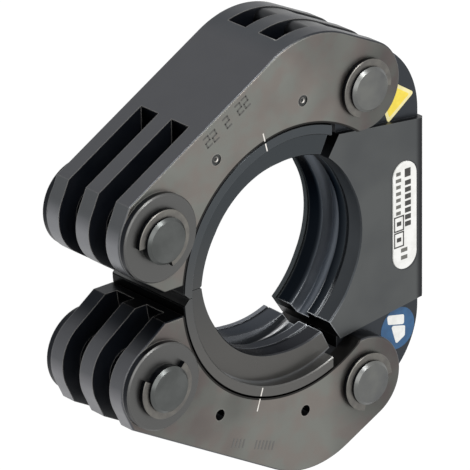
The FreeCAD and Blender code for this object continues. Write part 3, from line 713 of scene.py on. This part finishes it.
# %% The finishes by name
finishes = {
    "jaw": jaw_steel(),
    "block": blacked_steel("blacked_tool_steel", block_outside, BLOCK_BORE_PAINTED_LIGHT, roughness=0.38),
    "liner": blacked_steel("polished_hardened_steel", liner_outside, LINER_BORE_PAINTED_LIGHT, roughness=0.30),
    "hook_pin": turned_steel("turned_hook_pin_steel", HOOK_PIN_COLOURS, PIN_SIDE_SHADE_COLOUR,
                             roughness=0.36, cloud_size=7.0),
    "hinge_pin": turned_steel("turned_hinge_pin_steel", HINGE_PIN_COLOURS, PIN_SIDE_SHADE_COLOUR,
                              roughness=0.34, cloud_size=7.0),
    "ring": turned_steel("phosphated_ring_steel", RING_COLOURS, RING_SIDE_SHADE_COLOUR,
                         roughness=0.42, cloud_size=2.5),
}
print("finishes:", ", ".join(finishes))

# %% [markdown]
# ## Each solid stays as it is and only gets its finish.
# A solid whose shape is right stays as it is and only gets its finish.


# %% Give each solid its finish
def finish_of(name):
    """Finish of a node, from its name."""
    for word in ("jaw", "block", "liner", "ring", "hinge_pin"):
        if word in name:
            return finishes[word]
    return finishes["hook_pin"]


for name, solid in nodes.items():
    solid.data.materials.clear()
    solid.data.materials.append(finish_of(name))
print("dressed", len(nodes), "solids")

# %% [markdown]
# ## Flat pieces: labels and marks
# A label is a sheet of vinyl a few tenths of a millimetre thick, cut to a shape.  So is a
# painted mark, only thinner.  One function turns an outline into such a plate with its place
# in the mesh, so that the object itself stays at the origin and a pattern on it can't slide.


# %% Plates from outlines
def arc_points(centre, radius, first, last, steps):
    """Points along an arc, directions in degrees."""
    turns = [math.radians(first + (last - first) * index / steps) for index in range(steps + 1)]
    return [(centre[0] + radius * math.cos(t), centre[1] + radius * math.sin(t)) for t in turns]


def circle(centre, radius, corners):
    """Outline of a full circle."""
    return arc_points(centre, radius, 0, 360 - 360 / corners, corners - 1)


def rounded_outline(corners, radius, steps=8):
    """Outline of a convex polygon, given anticlockwise, with its corners rounded."""
    points = []
    count = len(corners)
    for index in range(count):
        before, here, after = (Vector(corners[(index + turn) % count]) for turn in (-1, 0, 1))
        inward = (before - here).normalized()
        onward = (after - here).normalized()
        half = inward.angle(onward) / 2
        centre = here + (inward + onward).normalized() * radius / math.sin(half)
        first = math.degrees(math.atan2(*(here + inward * radius / math.tan(half) - centre).yx))
        last = math.degrees(math.atan2(*(here + onward * radius / math.tan(half) - centre).yx))
        points += arc_points(centre, radius, first, first + (last - first) % 360, steps)
    return points


def plate(name, outline, low, high, finish, body, rim=0.0):
    """Flat piece between two heights in mm, with a narrow chamfer around its top."""
    mesh = bpy.data.meshes.new(name)
    work = bmesh.new()
    bottom = [work.verts.new((x * MM, y * MM, low * MM)) for x, y in outline]
    face = work.faces.new(bottom)
    top = bmesh.ops.extrude_face_region(work, geom=[face])["geom"]
    raised = [item for item in top if isinstance(item, bmesh.types.BMVert)]
    bmesh.ops.translate(work, verts=raised, vec=(0, 0, (high - low) * MM))
    if rim:
        edges = [edge for edge in work.edges if all(vertex in raised for vertex in edge.verts)]
        bmesh.ops.bevel(work, geom=edges, offset=rim * MM, segments=2, affect="EDGES", profile=0.5)
    bmesh.ops.recalc_face_normals(work, faces=work.faces)
    work.to_mesh(mesh)
    work.free()
    mesh.materials.append(finish)
    piece = bpy.data.objects.new(name, mesh)
    bpy.context.scene.collection.objects.link(piece)
    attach(piece, body)


print("plates ready")

# %% [markdown]
# ## Label finishes
# The labels are printed vinyl, a coloured film with a soft sheen.  It is not a metal, so it
# keeps an IOR of about 1.5, and soft clouds in its colour and its roughness show the
# handling.  Ink and paint are more matt.

# %% Label finishes
FILM_WEAR_SIZE = 2.5             # millimetres across a cloud in the film's wear


def film(name, light, dark, roughness=0.42):
    """Thin layer of vinyl, ink or paint, worn by handling: two near colours in soft clouds."""
    made = material(name)
    tree = made.node_tree
    position = coordinates(tree)[0]
    clouds = add(tree, "ShaderNodeTexNoise", {"Vector": position, "Scale": 1 / (FILM_WEAR_SIZE * MM),
                                              "Detail": 4.0})
    colour = add(tree, "ShaderNodeValToRGB", {0: clouds.outputs["Fac"]}, stops=((0.35, dark), (0.6, light)))
    rough = varied(tree, clouds.outputs["Fac"], roughness - 0.06, roughness + 0.08)
    shader = add(tree, "ShaderNodeBsdfPrincipled",
                 {"Base Color": colour.outputs[0], "Roughness": rough, "IOR": 1.5})
    add(tree, "ShaderNodeOutputMaterial", {"Surface": shader.outputs[0]})
    return made


WHITE_FILM = film("white_vinyl", "#EFEEE9", "#E4E3DD")
YELLOW_FILM = film("yellow_vinyl", "#F3DA4E", "#EBCF45")
CREAM_FILM = film("cream_vinyl", "#EFE3A6", "#E6D998")
BLUE_FILM = film("blue_vinyl", "#26567F", "#204C73")
INK = film("matt_black_ink", "#3A3936", "#2E2D2A", 0.6)
LIGHT_INK = film("worn_grey_ink", "#6B6A64", "#5A5954", 0.6)
PAINT = film("white_marking_paint", "#E9E4DC", "#CFC8BE", 0.6)
STAMP = film("stamped_shadow", "#54534F", "#4A4946", 0.6)
FAINT_STAMP = film("faint_stamped_shadow", "#5F5E5B", "#575653", 0.6)
# dark film of the long label's painted shadow
LABEL_SHADOW = film("dark_label_painted_shadow", "#26282A", "#1F2123", 0.5)
# painted shade in the staked groove and pit
PAINTED_PIT_SHADE = film("painted_pit_shade", "#1A1A19", "#0C0C0C", 0.6)
PUNCHED = film("punched_land", "#6C6A65", "#5C5A56", 0.5)
print("label finishes:", WHITE_FILM.name, YELLOW_FILM.name, BLUE_FILM.name)

# %% [markdown]
# ## The long label and its print
# The long label is a white pill on the block's face, and a painted shadow, a dark sheet under
# it and shifted, shows along its right side and its lower end.  Its print is plain blocks: a
# square and a bold row on the outside, a lighter row inside it, two open boxes, and two short
# blocks at the foot.  A row of blocks repeats with a rule, so Geometry Nodes make it: points on
# a line, one box on each, and a random length from a fixed seed.  The tree ends in Realize
# Instances and Set Material, and the result is turned into a plain mesh, because instances
# don't leave Blender.


# %% A tree for rows of blocks
def row_tree():
    """Node tree: boxes of a given size along a line, with lengths that vary by a share."""
    tree = bpy.data.node_groups.new("row_of_blocks", "GeometryNodeTree")
    for name, kind in (("Start", "Vector"), ("Step", "Vector"), ("Count", "Int"), ("Block Size", "Vector"),
                       ("Turn", "Float"), ("Variation", "Float"), ("Seed", "Int"), ("Finish", "Material")):
        tree.interface.new_socket(name, in_out="INPUT", socket_type=f"NodeSocket{kind}")
    tree.interface.new_socket("Geometry", in_out="OUTPUT", socket_type="NodeSocketGeometry")
    given = add(tree, "NodeGroupInput").outputs
    line = add(tree, "GeometryNodeMeshLine", {"Count": given["Count"], "Start Location": given["Start"],
                                              "Offset": given["Step"]})
    block = add(tree, "GeometryNodeMeshCube", {"Size": given["Block Size"]})
    least = add(tree, "ShaderNodeMath", {0: 1.0, 1: given["Variation"]}, operation="SUBTRACT")
    length = add(tree, "FunctionNodeRandomValue", {"Min": least.outputs[0], "Max": 1.0,
                                                   "Seed": given["Seed"]}, data_type="FLOAT")
    scale = add(tree, "ShaderNodeCombineXYZ", {0: length.outputs["Value"], 1: 1.0, 2: 1.0})
    turned = add(tree, "ShaderNodeCombineXYZ", {2: given["Turn"]})
    boxes = add(tree, "GeometryNodeInstanceOnPoints",
                {"Points": line.outputs["Mesh"], "Instance": block.outputs["Mesh"],
                 "Rotation": turned.outputs[0], "Scale": scale.outputs[0]})
    real = add(tree, "GeometryNodeRealizeInstances", {"Geometry": boxes.outputs["Instances"]})
    done = add(tree, "GeometryNodeSetMaterial", {"Geometry": real.outputs[0], "Material": given["Finish"]})
    add(tree, "NodeGroupOutput", {"Geometry": done.outputs[0]})
    return tree


ROW_TREE = row_tree()


def plain_mesh(piece):
    """Turns what a modifier makes into the piece's own mesh."""
    graph = bpy.context.evaluated_depsgraph_get()
    piece.data = bpy.data.meshes.new_from_object(piece.evaluated_get(graph))
    piece.modifiers.clear()


def row(name, body, finish, start, step, count, block, variation=0.0, turn=0.0, seed=1):
    """Row of printed or stamped blocks, lengths in mm, turn in degrees."""
    piece = bpy.data.objects.new(name, bpy.data.meshes.new(name))
    bpy.context.scene.collection.objects.link(piece)
    modifier = piece.modifiers.new("row", "NODES")
    modifier.node_group = ROW_TREE
    values = {"Start": [value * MM for value in start], "Step": [value * MM for value in step],
              "Count": count, "Block Size": [value * MM for value in block],
              "Turn": math.radians(turn), "Variation": variation, "Seed": seed, "Finish": finish}
    for socket in ROW_TREE.interface.items_tree:
        if socket.in_out == "INPUT":
            modifier[socket.identifier] = values[socket.name]
    plain_mesh(piece)
    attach(piece, body)


print("row tree has", len(ROW_TREE.nodes), "nodes")

# %% Long label
LABEL_CENTRE = (43.7, -0.3)
LABEL_WIDTH = 8.7
LABEL_LENGTH = 32.1
LABEL_THICKNESS = 0.35
LABEL_RIM = 0.08
# painted shadow: a dark sheet under the label, shifted to its right and lower side
LABEL_SHADOW_SHIFT = (0.6, -0.35)
LABEL_SHADOW_MARGIN = 0.25
LABEL_SHADOW_THICKNESS = 0.12
INK_THICKNESS = 0.02


def pill(centre, width, length, steps=24):
    """Outline with full round ends, longer along Y."""
    reach = (length - width) / 2
    upper = arc_points((centre[0], centre[1] + reach), width / 2, 0, 180, steps)
    lower = arc_points((centre[0], centre[1] - reach), width / 2, 180, 360, steps)
    return upper + lower


shifted = [value + shift for value, shift in zip(LABEL_CENTRE, LABEL_SHADOW_SHIFT)]
painted_shadow = pill(shifted, LABEL_WIDTH + 2 * LABEL_SHADOW_MARGIN, LABEL_LENGTH + 2 * LABEL_SHADOW_MARGIN)
plate("label_painted_shadow", painted_shadow, BLOCK_FACE, BLOCK_FACE + LABEL_SHADOW_THICKNESS, LABEL_SHADOW, "root")
label_top = BLOCK_FACE + LABEL_THICKNESS
plate("label_long", pill(LABEL_CENTRE, LABEL_WIDTH, LABEL_LENGTH), BLOCK_FACE, label_top, WHITE_FILM,
      "root", rim=LABEL_RIM)
print("long label is", LABEL_WIDTH, "by", LABEL_LENGTH, "mm")

# %% Print on the long label
print_low = label_top + INK_THICKNESS / 2
BOX_CENTRES = ((41.5, -2.3), (41.5, -7.1))
BOX_SIZE = (3.3, 4.2)            # width and height of an open box
BOX_LINE = 0.42
BOX_MIDDLE = (0.5, 0.3)          # block inside a box, as shares of the box
PRINT_ROWS = {
    # name: ink, centre of the top block, step down, how many, width and height, variation, seed
    "square": (INK, (44.7, 12.3), -1, 1, (2.2, 2.5), 0.0, 1),
    "bold": (INK, (44.8, 9.3), -2.05, 7, (2.2, 1.45), 0.0, 3),
    "light": (LIGHT_INK, (41.3, 12.6), -1.95, 7, (2.0, 1.05), 0.35, 5),
    "size": (LIGHT_INK, (43.4, -10.6), -2.2, 2, (2.4, 1.2), 0.0, 1),
}

for name, (ink, centre, down, count, block, variation, seed) in PRINT_ROWS.items():
    row(f"print_{name}", "root", ink, (*centre, print_low), (0, down, 0), count, (*block, INK_THICKNESS),
        variation=variation, seed=seed)
wide, tall = BOX_SIZE
for number, (x, y) in enumerate(BOX_CENTRES, start=1):
    row(f"print_box_{number}_ends", "root", INK, (x, y + tall / 2, print_low), (0, -tall, 0), 2,
        (wide + BOX_LINE, BOX_LINE, INK_THICKNESS))
    row(f"print_box_{number}_sides", "root", INK, (x - wide / 2, y, print_low), (wide, 0, 0), 2,
        (BOX_LINE, tall, INK_THICKNESS))
    row(f"print_box_{number}_middle", "root", INK, (x, y, print_low), (0, 1, 0), 1,
        (wide * BOX_MIDDLE[0], tall * BOX_MIDDLE[1], INK_THICKNESS))

# %% [markdown]
# ## The two small labels
# One is a yellow corner that runs under the upper jaw's lug, the other a blue disc on the
# lower tongue.  Both carry only plain fields of colour, two white ones on the disc.  They
# lie in the narrow gap beside a swinging lug, so they are thinner than that gap.

# %% Small labels
THIN_FILM = 0.05
CORNER_LABEL = ((39.32, 27.68), (48.96, 34.31), (33.51, 44.38))
CORNER_BORDER = 1.0
DISC_CENTRE = (42.8, -34.95)
DISC_RADIUS = 6.24
DISC_FIELDS = {
    # corners of the two white fields, anticlockwise
    "upper": ((39.2, -32.9), (45.2, -34.4), (45.2, -31.4), (38.8, -30.0)),
    "lower": ((42.2, -39.6), (45.5, -37.9), (45.6, -34.9), (40.3, -33.5)),
}


def towards_middle(corners, distance):
    """The same convex outline, moved in by a distance on every side."""
    moved = []
    count = len(corners)
    for index in range(count):
        before, here, after = (Vector(corners[(index + turn) % count]) for turn in (-1, 0, 1))
        inward = (before - here).normalized()
        onward = (after - here).normalized()
        half = inward.angle(onward) / 2
        moved.append(here + (inward + onward).normalized() * distance / math.sin(half))
    return moved


film_top = TONGUE_FACE + THIN_FILM
plate("label_corner_border", rounded_outline(CORNER_LABEL, 0.7), TONGUE_FACE, film_top, CREAM_FILM, "root")
plate("label_corner_field", rounded_outline(towards_middle(CORNER_LABEL, CORNER_BORDER), 0.4), film_top,
      film_top + INK_THICKNESS, YELLOW_FILM, "root")
plate("label_disc", circle(DISC_CENTRE, DISC_RADIUS, 48), TONGUE_FACE, film_top, BLUE_FILM, "root")
for name, corners in DISC_FIELDS.items():
    plate(f"label_disc_field_{name}", rounded_outline(corners, 0.6), film_top, film_top + INK_THICKNESS,
          WHITE_FILM, "root")
print("small labels are", THIN_FILM, "mm thick")

# %% [markdown]
# ## Alignment marks and stamps
# A white line crosses each liner's flange and its jaw, and shows where the liner belongs in
# the closed collar.  It is two pieces, because the liner slides.  The jaws also carry small
# stamps in plain strokes, which are the same rows of blocks as the print.

# %% Marks
MARK_WIDTH = 0.38
PAINT_THICKNESS = 0.03
MARKS = {"upper": (104.45, 41.7), "lower": (-108.6, 42.8)}    # direction, outer end from the axis


def mark(name, body, angle, inner, outer):
    """Painted line along a radius, on a jaw's or a liner's face."""
    along = Vector((math.cos(math.radians(angle)), math.sin(math.radians(angle))))
    across = Vector((-along.y, along.x)) * MARK_WIDTH / 2
    corners = [along * inner - across, along * outer - across, along * outer + across,
               along * inner + across]
    plate(name, corners, JAW_FACE, JAW_FACE + PAINT_THICKNESS, PAINT, body)


for side, (angle, outer_end) in MARKS.items():
    mark(f"mark_{side}_jaw", f"{side}_jaw", angle, SEAT_RADIUS + 0.1, outer_end)
    mark(f"mark_{side}_liner", f"{side}_liner", angle, STEP_RADIUS + 0.35, FLANGE_RADIUS - 0.35)
print("marks at", [angle for angle, outer_end in MARKS.values()], "degrees")

# %% Stamped characters
CHARACTER_WIDTH = 2.1
CHARACTER_HEIGHT = 3.2
CHARACTER_STROKE = 0.5
BACK_SLOPE = 29.15               # degrees, along the upper jaw's long back
CHARACTER_CENTRES = ((-29.67, 43.46), (-27.32, 44.54), (-22.88, 47.19), (-18.58, 49.8), (-16.32, 51.09))


def turned(slope):
    """Unit steps along a slope in degrees, and upwards across it."""
    angle = math.radians(slope)
    return Vector((math.cos(angle), math.sin(angle), 0)), Vector((-math.sin(angle), math.cos(angle), 0))


def character(name, body, finish, centre, slope):
    """Plain stamped figure: three bars, and two uprights on opposite sides."""
    along, upward = turned(slope)
    middle = Vector((*centre, JAW_FACE + PAINT_THICKNESS / 2))
    foot = middle - upward * CHARACTER_HEIGHT / 2
    row(f"{name}_bars", body, finish, foot, upward * CHARACTER_HEIGHT / 2, 3,
        (CHARACTER_WIDTH, CHARACTER_STROKE, PAINT_THICKNESS), turn=slope)
    across = along * (CHARACTER_WIDTH - CHARACTER_STROKE)
    row(f"{name}_uprights", body, finish, middle + across / 2 + upward * CHARACTER_HEIGHT / 4,
        -across - upward * CHARACTER_HEIGHT / 2, 2,
        (CHARACTER_STROKE, CHARACTER_HEIGHT / 2, PAINT_THICKNESS), turn=slope)


for number, centre in enumerate(CHARACTER_CENTRES, start=1):
    character(f"stamp_{number}", "upper_jaw", STAMP, centre, BACK_SLOPE)
print("stamped characters:", len(CHARACTER_CENTRES))

# %% Faint strokes on the lower jaw
FAINT_STROKE = (0.5, 2.6, PAINT_THICKNESS)
FAINT_STEP = 1.3
FAINT_ROWS = {"first": (-22.3, -47.3, 4), "second": (-14.2, -50.4, 6)}    # first stroke, and how many
FAINT_SLOPE = -20.0

for name, (x, y, count) in FAINT_ROWS.items():
    row(f"faint_{name}", "lower_jaw", FAINT_STAMP, (x, y, JAW_FACE + PAINT_THICKNESS / 2),
        turned(FAINT_SLOPE)[0] * FAINT_STEP, count, FAINT_STROKE, turn=FAINT_SLOPE)
print("faint rows:", ", ".join(FAINT_ROWS))

# %% [markdown]
# The front ends of the two upper cross dowels are staked: a dark groove, a bright patch
# and a punched pit, each a very thin disc on the one below.  The dark of the groove and the
# pit is painted shade, and the bright patch is a painted highlight in white paint.

# %% Staked dowel ends
STAKE_LAYER = 0.01
STAKES = (
    # name, radius, place beside the dowel's centre, finish
    ("groove", 1.25, (0.0, 0.0), PAINTED_PIT_SHADE),
    ("land", 0.85, (0.1, 0.0), PUNCHED),
    # painted highlight in white paint
    ("shine", 0.5, (0.3, -0.25), PAINT),
    ("pit", 0.55, (-0.1, 0.1), PAINTED_PIT_SHADE),
)

for dowel in ("upper_dowel_1", "upper_dowel_2"):
    low_corner, high_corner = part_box(dowel)
    centre = (low_corner + high_corner) / 2 / MM
    for layer, (name, radius, (x, y), finish) in enumerate(STAKES):
        bottom = high_corner.z / MM + layer * STAKE_LAYER
        plate(f"{dowel}_{name}", circle((centre.x + x, centre.y + y), radius, 24), bottom,
              bottom + STAKE_LAYER, finish, "upper_jaw")

# %% [markdown]
# ## View
# The Standard view shows a colour about as it is written.

# %% View settings
bpy.context.scene.view_settings.view_transform = "Standard"
print("view transform:", bpy.context.scene.view_settings.view_transform)
